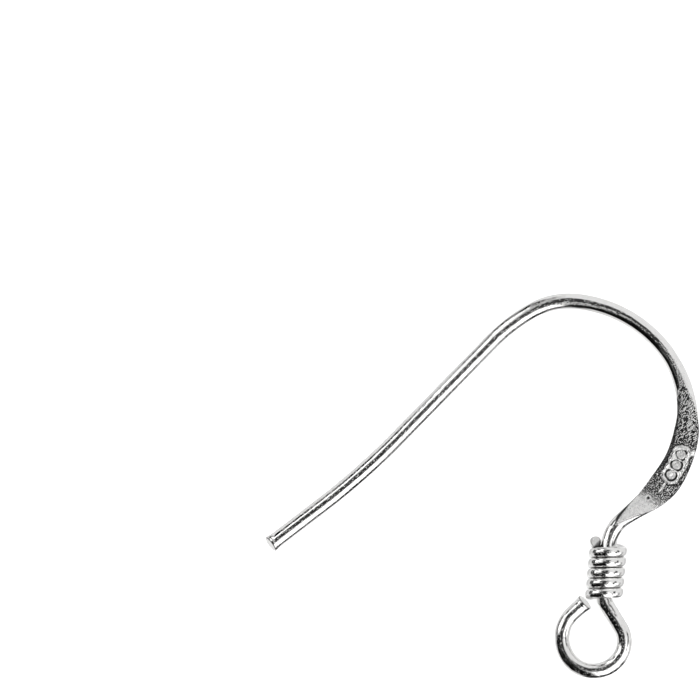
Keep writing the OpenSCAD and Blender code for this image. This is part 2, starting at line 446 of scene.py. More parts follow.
def finish_share(table, mark, across):
    """How much of a finish lies at each corner, with soft limits and slanting ends."""
    place, inner, outer, strength = np.array(table).T
    past_inner = across - np.interp(mark, place, inner)
    past_outer = across - np.interp(mark, place, outer)
    inside = eased(past_inner, *FINISH_LIMIT) * faded(past_outer, *FINISH_LIMIT)
    return inside * np.interp(mark - FINISH_SLANT * across, place, strength)


def line_share(mark, across, start, end, half, boldness):
    """1 on a straight line between two places and 0 beside it. A bolder one stays 1 further out."""
    a, b = np.array(start), np.array(end)
    way = b - a
    px, py = mark - a[0], across - a[1]
    t = np.clip((px * way[0] + py * way[1]) / float(way @ way), 0, 1)
    away = np.hypot(px - t * way[0], py - t * way[1])
    return np.minimum(boldness * faded(away, 0, half), 1)


def dents(mark, across):
    """Short slanting dents of the stippled face, as a share of their depth."""
    along = DENT_WAY[0] * mark + DENT_WAY[1] * across
    beside = DENT_WAY[0] * across - DENT_WAY[1] * mark
    return faded(wobble(DENT_SLOWED * along, beside, DENT_CELLS), *DENT_WALL)


FACE_STEPS = 90
FACE_MARKS = np.linspace(FLAT_START, FLAT_START + FLAT_LEN, FACE_STEPS)
FACE_WIDTHS = np.array([width_at(mark) for mark in FACE_MARKS])


def face_limits(mark):
    """Where the inner and the outer edge of the wire lie across it."""
    width = np.interp(mark, FACE_MARKS, FACE_WIDTHS)
    return outward_of(width) - width / 2, outward_of(width) + width / 2


def calm_share(mark, across):
    """How smooth the face is along its inner edge, where it also gets painted shade, and 0 away from it.
    """
    inset = across - face_limits(mark)[0]
    breadth = np.interp(mark, *np.array(CALM).T)
    strength = CALM_STRENGTH * stretch(mark, *CALM_STRETCH)
    return strength * faded(inset - breadth, *CALM_LIMIT)


def pit_gap(mark, across):
    """Distance from the pit's middle."""
    return np.hypot(mark - PIT_PLACE[0], across - PIT_PLACE[1])


def relief(mark, across):
    """Height of the stamp, the dents and the marks over the flat face, in millimetres."""
    gap = panel_gap(mark, across)
    panel = faded(gap, *PANEL_LIMIT)
    lip = faded(np.abs(gap), LIP_CREST, LIP_HALF)
    raised, groove = ring_shares(mark, across)
    swell = PANEL_SWELL * (1 - ((across - PANEL_ACROSS) / PANEL_HALF[1]) ** 2) - PANEL_DEPTH
    height = RING_HEIGHT * raised - GROOVE_DEPTH * groove + swell * panel + LIP_HEIGHT * lip
    dented = -DENT_DEPTH * stretch(mark, *DENT_STRETCH) * (1 - calm_share(mark, across))
    dented = dented * finish_share(STIPPLE, mark, across) * (1 - panel) * (1 - lip)
    height = height + dented * dents(mark, across)
    height = height - SCRATCH_DEPTH * line_share(mark, across, *SCRATCH)
    return height - PIT_DEPTH * faded(pit_gap(mark, across), *PIT_WALL)


# Finishes and painted shade, as shares at the corners of the meshes, which the materials read

# The height over the wire's middle where the finishes of the face start
TOP_START = (-0.06, 0.0)
# How far beyond the panel its finish is worked out, and where the bright finish fades
PANEL_REACH = 0.3
PANEL_SHINE = (0.02, 0.08)
# The bright crest of the lip, and the painted dark outline round it: its middle and its softness
LIP_SHINE = 0.4 * LIP_HALF
OUTLINE_GAP = 1.3 * LIP_HALF
OUTLINE_SOFT = (0.01, 0.04)
# The painted shade in the pit and the bright ring round it, by the distance from the pit's middle
PIT_SHADE = (0.04, 0.09)
PIT_HALO = (0.07, 0.10, 0.13, 0.17)
PIT_HALO_STRENGTH = 0.8
# The painted dark line, a painted reflection, along the inner side of the satin tongue: mark and
# breadth, and as shares of the breadth how far out of the satin it lies and where it starts to fade
TONGUE_LINE = (
    (2.10, 0.03),
    (2.45, 0.12),
    (3.20, 0.05),
    (4.40, 0.03),
)
TONGUE_LINE_OUT = 0.6
TONGUE_LINE_CORE = 0.3
# The fainter painted dark line along the outer side of the tongue
OUTER_LINE_HALF = 0.04
OUTER_LINE_STRENGTH = 0.7
# The painted shade lines along both edges of the face, by the distance from the edge
SIDE_LINE = (0.03, 0.07)
SIDE_LINE_STRENGTH = 0.8
# The specks that break the painted shade line below the wrap into dots: cells of their noise, how
# much it is slowed along the wire, where in it they start and are full, and their strength
SPECK_CELLS = 15
SPECK_SLOWED = 0.5
SPECK_START = (-0.3, 0.05)
SPECK_STRENGTH = 0.8
# Where the polish on the inner side of the arch ends across the wire
POLISHED_LIMIT = (-0.16, -0.08)
# The painted shade at the corners of the cuts: the distance from the end over which it fades,
# where on the section it starts as a share of its radius, and its strength
CORNER_DEPTH = (0.01, 0.05)
CORNER_START = 0.93
CORNER_STRENGTH = 0.7
# Where the skin ends and a cut starts, as shares of the section's radius
CUT_LIMIT = (0.90, 0.99)
# The painted shade on the sides of the wrap's turns and round the rim of its stub: where they start
# and are full, as shares of the wire's radius, and their strength
TURN_SIDE = (0.86, 0.99)
TURN_SIDE_STRENGTH = 0.55
STUB_RIM = (0.86, 0.97)
STUB_RIM_STRENGTH = 0.5
# The painted shadow where the stub meets the neck: its way as out from the neck and up, where it
# starts and is full, its distance from the end, and its strength
NOOK_WAY = (-0.75, 0.65)
NOOK_START = (0.0, 0.10)
NOOK_DEPTH = (0.2, 0.3)
NOOK_STRENGTH = 1.25


def rubbed(mark, across):
    """Where the face is rubbed bright: beside the panel, along the scratch and round the pit."""
    shine = line_share(mark, across, *EDGE_SHINE)
    shine = np.maximum(shine, line_share(mark, across, *SCRATCH_SHINE))
    halo = PIT_HALO_STRENGTH * stretch(pit_gap(mark, across), *PIT_HALO)
    return np.maximum(shine, halo)


def tongue_lines(mark, across):
    """Painted dark reflections along both sides of the satin tongue above the neck."""
    place, inner, outer = np.array(SATIN).T[:3]
    broad = np.interp(mark, *np.array(TONGUE_LINE).T)
    away = np.abs(across - np.interp(mark, place, inner) + TONGUE_LINE_OUT * broad)
    inner_line = faded(away, TONGUE_LINE_CORE * broad, broad) * stretch(mark, *TONGUE_INNER_STRETCH)
    away = np.abs(across - np.interp(mark, place, outer))
    outer_line = faded(away, 0, OUTER_LINE_HALF) * stretch(mark, *TONGUE_OUTER_STRETCH)
    return inner_line + OUTER_LINE_STRENGTH * outer_line


def edge_lines(mark, across, gap):
    """Painted shade as the panel's outline and along both edges, but not where they are worn."""
    inner_edge, outer_edge = face_limits(mark)
    inset = np.minimum(across - inner_edge, outer_edge - across)
    sides = SIDE_LINE_STRENGTH * faded(inset, *SIDE_LINE) * stretch(mark, *SIDE_STRETCH)
    outline = faded(np.abs(gap - OUTLINE_GAP), *OUTLINE_SOFT)
    return (outline + sides) * (1 - line_share(mark, across, *EDGE_SHINE))


def painted_wire_shade(mark, across):
    """Painted shade in the pit, and along the outer side of the wire above the wrap and below it."""
    specks = eased(wobble(SPECK_SLOWED * mark, across, SPECK_CELLS), *SPECK_START)
    below = SPECK_STRENGTH * specks * line_share(mark, across, *LEG_SHADE)
    pit = faded(pit_gap(mark, across), *PIT_SHADE)
    return pit + line_share(mark, across, *NECK_SHADE) + below


def cut_corners(mark, across, up):
    """Painted shade at the corners of both cuts of the hook's wire."""
    to_end = np.minimum(TIP_END - mark, mark + LOOP_END)
    radius = WIRE_D / 2
    corner = eased(np.hypot(across, up), CORNER_START * radius, radius)
    return CORNER_STRENGTH * faded(to_end, *CORNER_DEPTH) * corner


def cut_share(laid, radius):
    """1 on the cut ends of a wire and 0 on its skin."""
    across, up = laid.T[1:]
    return faded(np.hypot(across, up) / radius, *CUT_LIMIT)


def hook_finishes_and_shade(laid):
    """Share of each finish, and of the painted shade, at every corner of the hook's wire."""
    mark, across, up = laid.T
    top = eased(up, *TOP_START)
    gap = np.ones(len(mark))
    near = np.abs(mark - PANEL_MARK) < PANEL_HALF[0] + PANEL_REACH
    gap[near] = panel_gap(mark[near], across[near])
    stipple = finish_share(STIPPLE, mark, across)
    satin = finish_share(SATIN, mark, across) * (1 - stipple)
    satin = np.maximum(satin, line_share(mark, across, *ARCH_SHINE))
    # Painted shade: ring grooves, panel outline, edge and tongue lines, pit, neck and leg
    dark = ring_shares(mark, across)[1] + edge_lines(mark, across, gap)
    dark = dark + tongue_lines(mark, across) + painted_wire_shade(mark, across)
    return {
        "stipple": top * stipple,
        "calm": calm_share(mark, across),
        "satin": top * satin,
        "panel": top * np.maximum(faded(gap, *PANEL_SHINE), rubbed(mark, across)),
        "lip": top * faded(np.abs(gap), LIP_SHINE, LIP_HALF),
        "polished": stretch(mark, *POLISHED_STRETCH) * faded(across, *POLISHED_LIMIT),
        "groove": np.clip(top * dark + cut_corners(mark, across, up), 0, 1),
        "cut": cut_share(laid, WIRE_D / 2),
    }


def wrap_finishes_and_shade(laid):
    """Share of each finish, and of the painted shade, at every corner of the wrap's wire."""
    mark, across, up = laid.T
    radius = WRAP_WIRE_D / 2
    to_end = WRAP_WIRE_LEN - mark
    sides = TURN_SIDE_STRENGTH * eased(np.abs(up) / radius, *TURN_SIDE)
    rim = STUB_RIM_STRENGTH * eased(np.hypot(across, up) / radius, *STUB_RIM)
    rim = rim * faded(to_end, *CORNER_DEPTH)
    nook = NOOK_STRENGTH * eased(NOOK_WAY[0] * across + NOOK_WAY[1] * up, *NOOK_START)
    nook = nook * faded(to_end, *NOOK_DEPTH)
    return {"painted_shade": np.maximum(np.maximum(sides, rim), nook), "cut": cut_share(laid, radius)}


# The points of both wires

# Flares and cuts of the wires' ends: the length and the share of the flare of the hook's wire, how
# far and over what length its cuts lean back, and the share and the turn of the wrap's flared stub
FLARE_LEN = 0.5
FLARE = 0.10
CUT_SLANT = 0.2
CUT_LEN = 0.4
STUB_FLARE = 0.20
STUB_TURN = 45
# The way in which the stub is spread, as out from the neck and up, and where on the section it
# starts and is full
STUB_WAY = (0.5, -0.9)
STUB_START = (-0.3, 0.7)
# The caps of the cut ends: a share of the section, and how far out it lies in millimetres
CUT_RINGS = ((0.985, 0.012), (0.95, 0.018), (0.7, 0.016), (0.3, 0.010), (0.04, 0.008))
# How far above the wire's middle the relief of the face starts and is full
RELIEF_START = (0.02, 0.06)
# The wrap: corners of its section, rings to a turn, and the power that flattens its outer side
WRAP_SIDES = 40
TURN_RINGS = 72
WRAP_FLATTER = 0.78
# The rings of the hook's wire: half of the stretch that the wrap hides, how far the closest rings
# reach beyond the panel, and the mark where the shoulder of the arm ends
HIDDEN_HALF = 1.1
PANEL_MARGIN = 0.1
SHOULDER_END = 21.2
# Stretches of the hook's wire, each by the mark where it ends and by the step of its rings
RING_STEPS = (
    (FLARE_LEN - LOOP_END, 0.03),
    (-HIDDEN_HALF, 0.07),
    (HIDDEN_HALF, 0.2),
    (FLAT_START, 0.06),
    (PANEL_MARK - PANEL_HALF[0] - PANEL_MARGIN, 0.028),
    (PANEL_MARK + PANEL_HALF[0] + PANEL_MARGIN, 0.022),
    (FLAT_START + FLAT_LEN, 0.028),
    (SHOULDER_END, 0.09),
    (TIP_END - FLARE_LEN, 0.14),
    (TIP_END, 0.03),
)


def wire_marks():
    """Marks of the rings along the whole wire, closer where it bends and closest in the panel."""
    marks, start = [], -LOOP_END
    for end, step in RING_STEPS:
        count = max(round((end - start) / step), 1)
        marks.append(np.linspace(start, end, count, endpoint=False))
        start = end
    return np.concatenate([*marks, [TIP_END]])


def placed(mark, across, up):
    """Points of the wire in the plane of the hook, from places across it and above its middle."""
    x, y, heading = wire_pose(mark)
    a = math.radians(heading)
    to_end = TIP_END - mark if mark > 0 else mark + LOOP_END
    flare = 1 + FLARE * float(faded(to_end, 0, FLARE_LEN))
    slant = CUT_SLANT * float(faded(to_end, 0, CUT_LEN))
    back = (up / WIRE_D + 0.5) * math.copysign(slant, mark)
    side = across * flare
    place_x = x - back * math.cos(a) + side * math.sin(a)
    place_y = y - back * math.sin(a) - side * math.cos(a)
    return np.stack([place_x, place_y, up * flare], -1)


def hook_points():
    """Rings of the hook's wire, and the same corners laid out straight."""
    rings, straight = [], []
    for mark in wire_marks():
        across, up = section(mark)
        if STIPPLE[0][0] < mark < STIPPLE[-1][0]:
            up = up + np.where(up > 0, relief(mark, across), 0) * eased(up, *RELIEF_START)
        rings.append(placed(mark, across, up))
        straight.append(np.stack([np.full_like(across, mark), across, up], -1))
    return rings, straight


def wrap_points():
    """Rings of the wrap's wire, as a right-handed winding about the neck."""
    rings, straight = [], []
    radius = WRAP_WIRE_D / 2
    a = (np.arange(WRAP_SIDES) + 0.5) * 2 * math.pi / WRAP_SIDES
    # The winding presses the outer side of the wire a little flatter
    power = np.where(np.cos(a) > 0, WRAP_FLATTER, 1.0)
    out, rise = (np.sign(w) * np.abs(w) ** power for w in (np.cos(a), np.sin(a)))
    end_angle = 360 * WRAP_TURNS
    for angle in np.linspace(0, end_angle, round(WRAP_TURNS * TURN_RINGS) + 1):
        turn = math.radians(WRAP_END_ANGLE + angle)
        outward = np.array((math.sin(turn), 0, math.cos(turn)))
        climb = WRAP_PITCH / (2 * math.pi)
        along = np.array((WRAP_MID_R * math.cos(turn), climb, -WRAP_MID_R * math.sin(turn)))
        upward = np.cross(along, outward) / np.linalg.norm(along)
        middle = WRAP_MID_R * outward + np.array((0, WRAP_PITCH * angle / 360 - WRAP_LEN / 2, 0))
        # The cut stub at the top is spread
        flare = STUB_FLARE * float(eased(angle, end_angle - STUB_TURN, end_angle))
        size = 1 + flare * eased(STUB_WAY[0] * out + STUB_WAY[1] * rise, *STUB_START)
        skin = (size * out)[:, None] * outward + (size * rise)[:, None] * upward
        rings.append(middle + radius * skin)
        mark = np.full(WRAP_SIDES, math.radians(angle) * WRAP_MID_R)
        straight.append(np.stack([mark, radius * np.cos(a), radius * np.sin(a)], -1))
    return rings, straight


def in_frame(hook_rings, wrap_rings):
    """Rings of both wires, leaning as they lie, over the middle of the frame's box and on its foot."""
    hook_rings = [leaned(ring) for ring in hook_rings]
    wrap_rings = [leaned(ring) for ring in wrap_rings]
    corners = np.concatenate(hook_rings + wrap_rings)
    low, high = corners.min(0), corners.max(0)
    cad_middle = np.array((cad_low + cad_high) / 2) / MM
    shift = np.array((*(cad_middle - (low + high) / 2)[:2], cad_low.z / MM - low[2]))
    return [ring + shift for ring in hook_rings], [ring + shift for ring in wrap_rings]


# Meshes. An edge that is sharper than this many degrees isn't shaded smooth.
SHARP_ANGLE = 50


def cap_rings(ring, way):
    """Rings that close an end and bulge a little along way."""
    middle = ring.mean(0)
    return [middle + (ring - middle) * share + way * out for share, out in CUT_RINGS]


def capped(rings, straight):
    """All rings of a wire with its two caps, and the same corners laid out straight."""
    skins, laid = [], []
    for end, inner, flat_way in ((0, 1, -1.0), (-1, -2, 1.0)):
        way = rings[end].mean(0) - rings[inner].mean(0)
        skins.append(cap_rings(rings[end], way / np.linalg.norm(way)))
        laid.append(cap_rings(straight[end], np.array((flat_way, 0, 0))))
    all_rings = [*reversed(skins[0]), *rings, *skins[1]]
    all_laid = [*reversed(laid[0]), *straight, *laid[1]]
    return all_rings, np.concatenate(all_laid)


def mesh_piece(name, rings, laid, shares):
    """A closed skin over rings of corners in millimetres, as an object in metres.

    laid has the same corners on the straightened wire, which the materials read, and shares the
    finishes at them.
    """
    count, sides = len(rings), len(rings[0])
    points = np.concatenate(rings)
    first = np.arange(count - 1)[:, None] * sides
    a = (first + np.arange(sides)).ravel()
    b = (first + (np.arange(sides) + 1) % sides).ravel()
    quads = np.stack([a, b, b + sides, a + sides], 1)
    start_cap = list(range(sides - 1, -1, -1))
    end_cap = list(range((count - 1) * sides, count * sides))
    faces = [*quads.tolist(), start_cap, end_cap]
    p = points - points.mean(0)
    tri = np.concatenate([quads[:, [0, 1, 2]], quads[:, [0, 2, 3]]])
    volume = np.einsum("ij,ij->i", p[tri[:, 0]], np.cross(p[tri[:, 1]], p[tri[:, 2]])).sum()
    if volume < 0:
        faces = [face[::-1] for face in faces]
    mesh = bpy.data.meshes.new(name)
    mesh.from_pydata((points * MM).tolist(), [], faces)
    mesh.update()
    layer = mesh.attributes.new("straight", "FLOAT_VECTOR", "POINT")
    layer.data.foreach_set("vector", np.asarray(laid, np.float32).ravel())
    for label, values in shares.items():
        layer = mesh.attributes.new(label, "FLOAT", "POINT")
        layer.data.foreach_set("value", np.asarray(values, np.float32).ravel())
    piece = bpy.data.objects.new(name, mesh)
    bpy.context.scene.collection.objects.link(piece)
    mesh.shade_smooth()
    mesh.set_sharp_from_angle(angle=math.radians(SHARP_ANGLE))
    return piece


hook_rings, hook_straight = hook_points()
wrap_rings, wrap_straight = wrap_points()
hook_rings, wrap_rings = in_frame(hook_rings, wrap_rings)
hook_skin, hook_laid = capped(hook_rings, hook_straight)
wrap_skin, wrap_laid = capped(wrap_rings, wrap_straight)
hook = mesh_piece("ear_hook_wire", hook_skin, hook_laid, hook_finishes_and_shade(hook_laid))
wrap = mesh_piece("wire_wrap_winding", wrap_skin, wrap_laid, wrap_finishes_and_shade(wrap_laid))

# Materials

# Noises over the straightened wire: cells to the millimetre along it, across it and up, and detail
DRAWING_LINES = ((0.9, 16, 16), 4)
WAVES = ((4, 8, 8), 2)
PITS = ((11, 19, 19), 2)
SMEARS = ((4, 15, 15), 3)
CLOUDS = ((2.2, 2.5, 2.5), 3)
DOTS = ((19, 19, 19), 0)
STREAKS = ((9, 20, 14), 0.5)
PATCHES = ((1.6, 3.5, 3.5), 2)
WORN_LINES = ((8, 22, 22), 1)
SATIN_GRAIN = ((12, 26, 26), 2)
TOOL_WOBBLE = ((3, 12, 12), 1)
SPECKS = ((20, 20, 20), 2)
CUT_GRAIN = ((9, 30, 6), 3)
# Where in their noises these start and are full, and where there are four, what they go from and to
PIT_SPAN = (0.60, 0.72)
SMEAR_SPAN = (0.45, 0.65, 0.03, 0.13)
PATCH_SPAN = (0.38, 0.62, 0.0, -0.02)
WORN_SPAN = (0.46, 0.56)
SPECK_SPAN = (0.42, 0.34, 0.0, 0.6)
# Heights of the bumps, in millimetres
LINE_BUMP = 0.003
WAVE_BUMP = 0.006
PIT_BUMP = -0.006
SATIN_BUMP = 0.034
CUT_BUMP = 0.010
# Tool lines on the panel: half the distance between them, their steepness and how far they wobble
TOOL_HALF = 0.04
TOOL_STEEPNESS = 0.4
TOOL_SWING = 0.10
# The marks where the face turns from the one below the panel to the one above it. A pair has the
# value of each: where in the noise the grains start and are full, their height in millimetres,
# where the painted shade between them ends and is full, and the roughness there.
UPPER_FACE = (6.6, 7.8)
GRAIN_START = (0.46, 0.40)
GRAIN_FULL = (0.70, 0.60)
GRAIN_BUMP = (0.026, 0.020)
SHADE_END = (0.57, 0.525)
SHADE_FULL = (0.53, 0.505)
SHADE_ROUGH = (0.40, 0.25)
# The slanting streaks of the upper face: their turn in radians, and how much of the dots they take.
# Its outer side is rubbed brighter: from and to across the wire, and what that adds to the noise.
STREAK_TURN = -0.7
STREAK_SHARE = 0.8
RUBBED_SIDE = (-0.35, 0.45, -0.02, 0.02)
# The marks where the satin turns from a full one to the worn one of the arch
WORN_START = (10.0, 11.0)
# Roughness of the satin and of the panel, of the grains, of the polished arch and of the cuts
FROST_ROUGH = (0.30, 0.22)
GRAIN_ROUGH = 0.06
POLISHED_ROUGH = 0.01
CUT_ROUGH = 0.3
# How much of the bumps and of the roughness of the wire the polished arch has lost
POLISHED_BUMPS = 0.8
POLISHED_SHARE = 0.9
# The two tones of the silver, by their place on the ramp
SILVER_TONES = ((0.3, (0.90, 0.895, 0.885, 1)), (0.7, (0.955, 0.952, 0.945, 1)))
# Greys of the painted shade on the stippled face, of the dirt specks in the satin, and of the
# painted shade in the grooves and between the turns
FACE_SHADE = 0.05
SATIN_DIRT = 0.2
GROOVE_SHADE = 0.03
TURN_SHADE = 0.08
TURN_SHADE_SHARE = 0.8


class Nodes:
    """A material's nodes, with short calls for the few kinds that are used here."""

    def __init__(self, name):
        self.material = bpy.data.materials.new(name)
        self.material.use_nodes = True
        self.tree = self.material.node_tree
        self.tree.nodes.clear()

    def add(self, kind, inputs=(), **settings):
        node = self.tree.nodes.new("ShaderNode" + kind)
        for key, value in settings.items():
            setattr(node, key, value)
        for socket, value in dict(inputs).items():
            if isinstance(value, bpy.types.NodeSocket):
                self.tree.links.new(value, node.inputs[socket])
            else:
                node.inputs[socket].default_value = value
        return node

    def attribute(self, name, output="Fac"):
        return self.add("Attribute", attribute_name=name).outputs[output]

    def math(self, operation, a, b=0.0, **settings):
        return self.add("Math", {0: a, 1: b}, operation=operation, **settings).outputs[0]

    def plus(self, a, b):
        return self.math("ADD", a, b)

    def times(self, a, b):
        return self.math("MULTIPLY", a, b)

    def less(self, a, b):
        """a less b, but 0 where b is more."""
        return self.math("SUBTRACT", a, b, use_clamp=True)

    def rest(self, share):
        """What a share leaves of 1."""
        return self.math("SUBTRACT", 1.0, share)

    def between(self, value, low, high, to_low=0.0, to_high=1.0):
        """to_low below low, to_high above high, and smooth in between."""
        inputs = {"Value": value, "From Min": low, "From Max": high, "To Min": to_low, "To Max": to_high}
        return self.add("MapRange", inputs, interpolation_type="SMOOTHSTEP").outputs["Result"]

    def mixed(self, share, a, b):
        """a where share is 0 and b where it is 1."""
        return self.add("Mix", {"Factor": share, 2: a, 3: b}, data_type="FLOAT").outputs[0]


class Silver(Nodes):
    """Polished silver of drawn wire, whose height, roughness and colour finishes and painted shade
    change.
    """

    def __init__(self, name):
        super().__init__(name)
        self.laid = self.attribute("straight", "Vector")
        self.height = self.times(self.noise(*DRAWING_LINES), LINE_BUMP * MM)
        self.raise_by(self.times(self.noise(*WAVES), WAVE_BUMP * MM))
        pits = self.between(self.noise(*PITS), *PIT_SPAN)
        self.raise_by(self.times(pits, PIT_BUMP * MM))
        self.rough = self.between(self.noise(*SMEARS), *SMEAR_SPAN)
        ramp = self.add("ValToRGB", {"Fac": self.noise(*CLOUDS)})
        for element, (position, tone) in zip(ramp.color_ramp.elements, SILVER_TONES):
            element.position = position
            element.color = tone
        self.colour = ramp.outputs[0]

    def noise(self, cells, detail, turn=0.0):
        """Noise over the straightened wire, turned about its own up where turn isn't 0."""
        place = self.laid
        if turn:
            place = self.add("VectorRotate", {"Vector": place, "Angle": turn}).outputs[0]
        scaled = self.add("VectorMath", {0: place, 1: cells}, operation="MULTIPLY").outputs[0]
        return self.add("TexNoise", {"Vector": scaled, "Scale": 1.0, "Detail": detail}).outputs["Fac"]

    def raise_by(self, height):
        """Add a height in metres to the bumps."""
        self.height = self.plus(self.height, height)

    def flatten(self, share):
        """Take a share of their height off the bumps."""
        self.height = self.times(self.height, self.rest(share))

    def roughen(self, share, rough):
        """Take on another roughness where share is 1."""
        self.rough = self.mixed(share, self.rough, rough)

    def tint(self, share, shade):
        """Take on a grey where share is 1."""
        # The Mix node takes colours at its inputs 6 and 7 and gives one at its output 2
        inputs = {"Factor": share, 6: self.colour, 7: (shade, shade, shade, 1)}
        self.colour = self.add("Mix", inputs, data_type="RGBA").outputs[2]

    def finished(self):
        """The material, with its shader and the finish of the cut ends."""
        cut = self.attribute("cut")
        self.roughen(cut, CUT_ROUGH)
        self.raise_by(self.times(self.times(self.noise(*CUT_GRAIN), cut), CUT_BUMP * MM))
        bump = self.add("Bump", {"Height": self.height, "Strength": 1.0, "Distance": 1.0})
        inputs = {
            "Base Color": self.colour,
            "Metallic": 1.0,
            "Roughness": self.rough,
            "Normal": bump.outputs[0],
        }
        shader = self.add("BsdfPrincipled", inputs)
        self.add("OutputMaterial", {"Surface": shader.outputs[0]})
        return self.material


def add_stipple(silver, panel, mark, across):
    """The stippled face: dots below the panel, streaks above it, and painted shade between them."""
    upper = silver.between(mark, *UPPER_FACE)
    dots, streaks = silver.noise(*DOTS), silver.noise(*STREAKS, turn=STREAK_TURN)
    grains = silver.mixed(silver.times(upper, STREAK_SHARE), dots, streaks)
    grains = silver.plus(grains, silver.between(silver.noise(*PATCHES), *PATCH_SPAN))
    grains = silver.plus(grains, silver.times(upper, silver.between(across, *RUBBED_SIDE)))

    stipple, calm = silver.attribute("stipple"), silver.attribute("calm")
    bare = silver.less(stipple, panel)
    raised = silver.between(grains, silver.mixed(upper, *GRAIN_START), silver.mixed(upper, *GRAIN_FULL))
    raised = silver.times(raised, silver.times(bare, silver.rest(calm)))
    bump = silver.mixed(upper, GRAIN_BUMP[0] * MM, GRAIN_BUMP[1] * MM)
    silver.raise_by(silver.times(raised, bump))
    # Painted shade between the grains and along the calm inner edge, standing in for dark reflections
    grain_shade = silver.between(grains, silver.mixed(upper, *SHADE_END), silver.mixed(upper, *SHADE_FULL))
    shaded = silver.times(bare, silver.math("MAXIMUM", grain_shade, calm))
    silver.tint(shaded, FACE_SHADE)
    silver.roughen(stipple, GRAIN_ROUGH)
    silver.roughen(shaded, silver.mixed(upper, *SHADE_ROUGH))


def add_frost(silver, panel, mark, across):
    """The satin, which is worn to lines on the arch, and the panel, which has fine tool lines."""
    worn = silver.between(silver.noise(*WORN_LINES), *WORN_SPAN)
    on_arch = silver.between(mark, *WORN_START)
    satin = silver.times(silver.attribute("satin"), silver.mixed(on_arch, 1.0, worn))
    frost = silver.less(silver.math("MAXIMUM", satin, panel), silver.attribute("lip"))
    wobbling = silver.plus(across, silver.times(silver.noise(*TOOL_WOBBLE), TOOL_SWING))
    tool_lines = silver.times(silver.math("PINGPONG", wobbling, TOOL_HALF), TOOL_STEEPNESS * MM)
    grained = silver.times(silver.noise(*SATIN_GRAIN), SATIN_BUMP * MM)
    silver.raise_by(silver.times(silver.mixed(panel, grained, tool_lines), frost))
    silver.roughen(frost, silver.mixed(panel, *FROST_ROUGH))
    specks = silver.between(silver.noise(*SPECKS), *SPECK_SPAN)
    silver.tint(silver.times(satin, specks), SATIN_DIRT)


def hook_silver():
    """Silver of the hook's wire, with the polished arch, the finishes of the pressed face and painted
    shade.
    """
    silver = Silver("hook_silver")
    polished, panel = silver.attribute("polished"), silver.attribute("panel")
    place = silver.add("SeparateXYZ", {0: silver.laid}).outputs
    silver.flatten(silver.times(polished, POLISHED_BUMPS))
    silver.roughen(silver.times(polished, POLISHED_SHARE), POLISHED_ROUGH)
    add_stipple(silver, panel, place[0], place[1])
    add_frost(silver, panel, place[0], place[1])
    # Painted shade in the grooves and lines of the face and at the cut corners
    silver.tint(silver.attribute("groove"), GROOVE_SHADE)
    return silver.finished()


def wrap_silver():
    """Silver of the wrap's wire, with painted shade between the turns, round the stub and by the neck.
    """
    silver = Silver("wrap_silver")
    # Painted shade between the turns, round the stub's rim and where the stub meets the neck
    silver.tint(silver.times(silver.attribute("painted_shade"), TURN_SHADE_SHARE), TURN_SHADE)
    return silver.finished()


hook.data.materials.append(hook_silver())
wrap.data.materials.append(wrap_silver())
for piece, node in ((hook, "ear_hook"), (wrap, "wire_wrap")):
    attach(piece, "root")
    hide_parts(node)

# The photograph's frame, looking straight down. The photograph is 700 pixels wide.
PX_PER_MM = 21.47
PHOTO_PX = 700
ROLL = 5.3
LOOK_AT = Vector((-6.707, 5.288, 0.5)) * MM
LENS = 300
SENSOR = 36
CLIP_START = 0.01
CLIP_END = 10


def add_camera():
    data = bpy.data.cameras.new("camera")
    data.lens = LENS
    data.sensor_width = SENSOR
    data.clip_start = CLIP_START
    data.clip_end = CLIP_END
    camera = bpy.data.objects.new("camera", data)
    away = PHOTO_PX / PX_PER_MM * MM * LENS / SENSOR
    camera.location = LOOK_AT + Vector((0, 0, away))
    camera.rotation_euler = (0, 0, math.radians(ROLL))
    bpy.context.scene.collection.objects.link(camera)
    bpy.context.scene.camera = camera


# A tent of pale light, seen only as a reflection, with darker and brighter cards in it
TENT_R = 0.06
TENT_GLOW = 0.80
TENT_ROWS = 181
TENT_COLUMNS = 360
# The tilts of its first and last row, and the least sine of a tilt that widens a card's softness
TENT_TILTS = (0.05, 179.95)
LEAST_SINE = 0.2
# Cards: from and to which turn they are, anticlockwise from the picture's right, and from and to
# which tilt from straight up, in degrees, then the softness of their limits and their brightness
CARDS = (
    (-1, 361, 128, 190, 9, 0.62),
    (25, 80, 132, 170, 6, 0.95),
    (190, 240, 132, 170, 6, 0.95),
    (276, 346, 14, 98, 4, 1.6),
    (126, 182, 22, 80, 4, 1.6),
    (110, 126, 38, 78, 4, 1.4),
    (92, 102, 36, 80, 4, 0.32),
    (102, 111, 30, 56, 4, 0.34),
    (183, 222, 18, 90, 5, 0.003),
    (194, 222, 60, 100, 4, 0.003),
    (216, 279, 18, 105, 4, 0.003),
    (262, 292, 87, 128, 3, 0.02),
    (288, 301, 97, 130, 3, 0.02),
    (296, 312, 93, 150, 3, 0.01),
    (312, 322, 88, 150, 3, 0.08),
    (322, 352, 93, 110, 3, 0.4),
    (334, 352, 53, 65, 2, 0.05),
    (348, 367, 61, 76, 2, 0.05),
    (102, 111, 50, 90, 2.5, 0.0),
    (110, 119, 68, 106, 2.5, 0.0),
    (119, 129, 80, 115, 2.5, 0.0),
    (129, 132.5, 62, 96, 1.5, 0.03),
    (132.5, 135, 64, 100, 1.5, 0.45),
    (134.5, 147, 51, 81, 1.2, 0.0),
    (147, 186, 74, 107, 3, 0.03),
    (-1, 361, -1, 20, 4, 0.03),
    (20, 100, -1, 32, 6, 0.04),
    (110, 136, -1, 31, 4, 0.11),
    (136, 165, -1, 33, 4, 0.03),
    (285, 312, -1, 31, 4, 0.03),
    (312, 345, -1, 31, 4, 0.10),
)


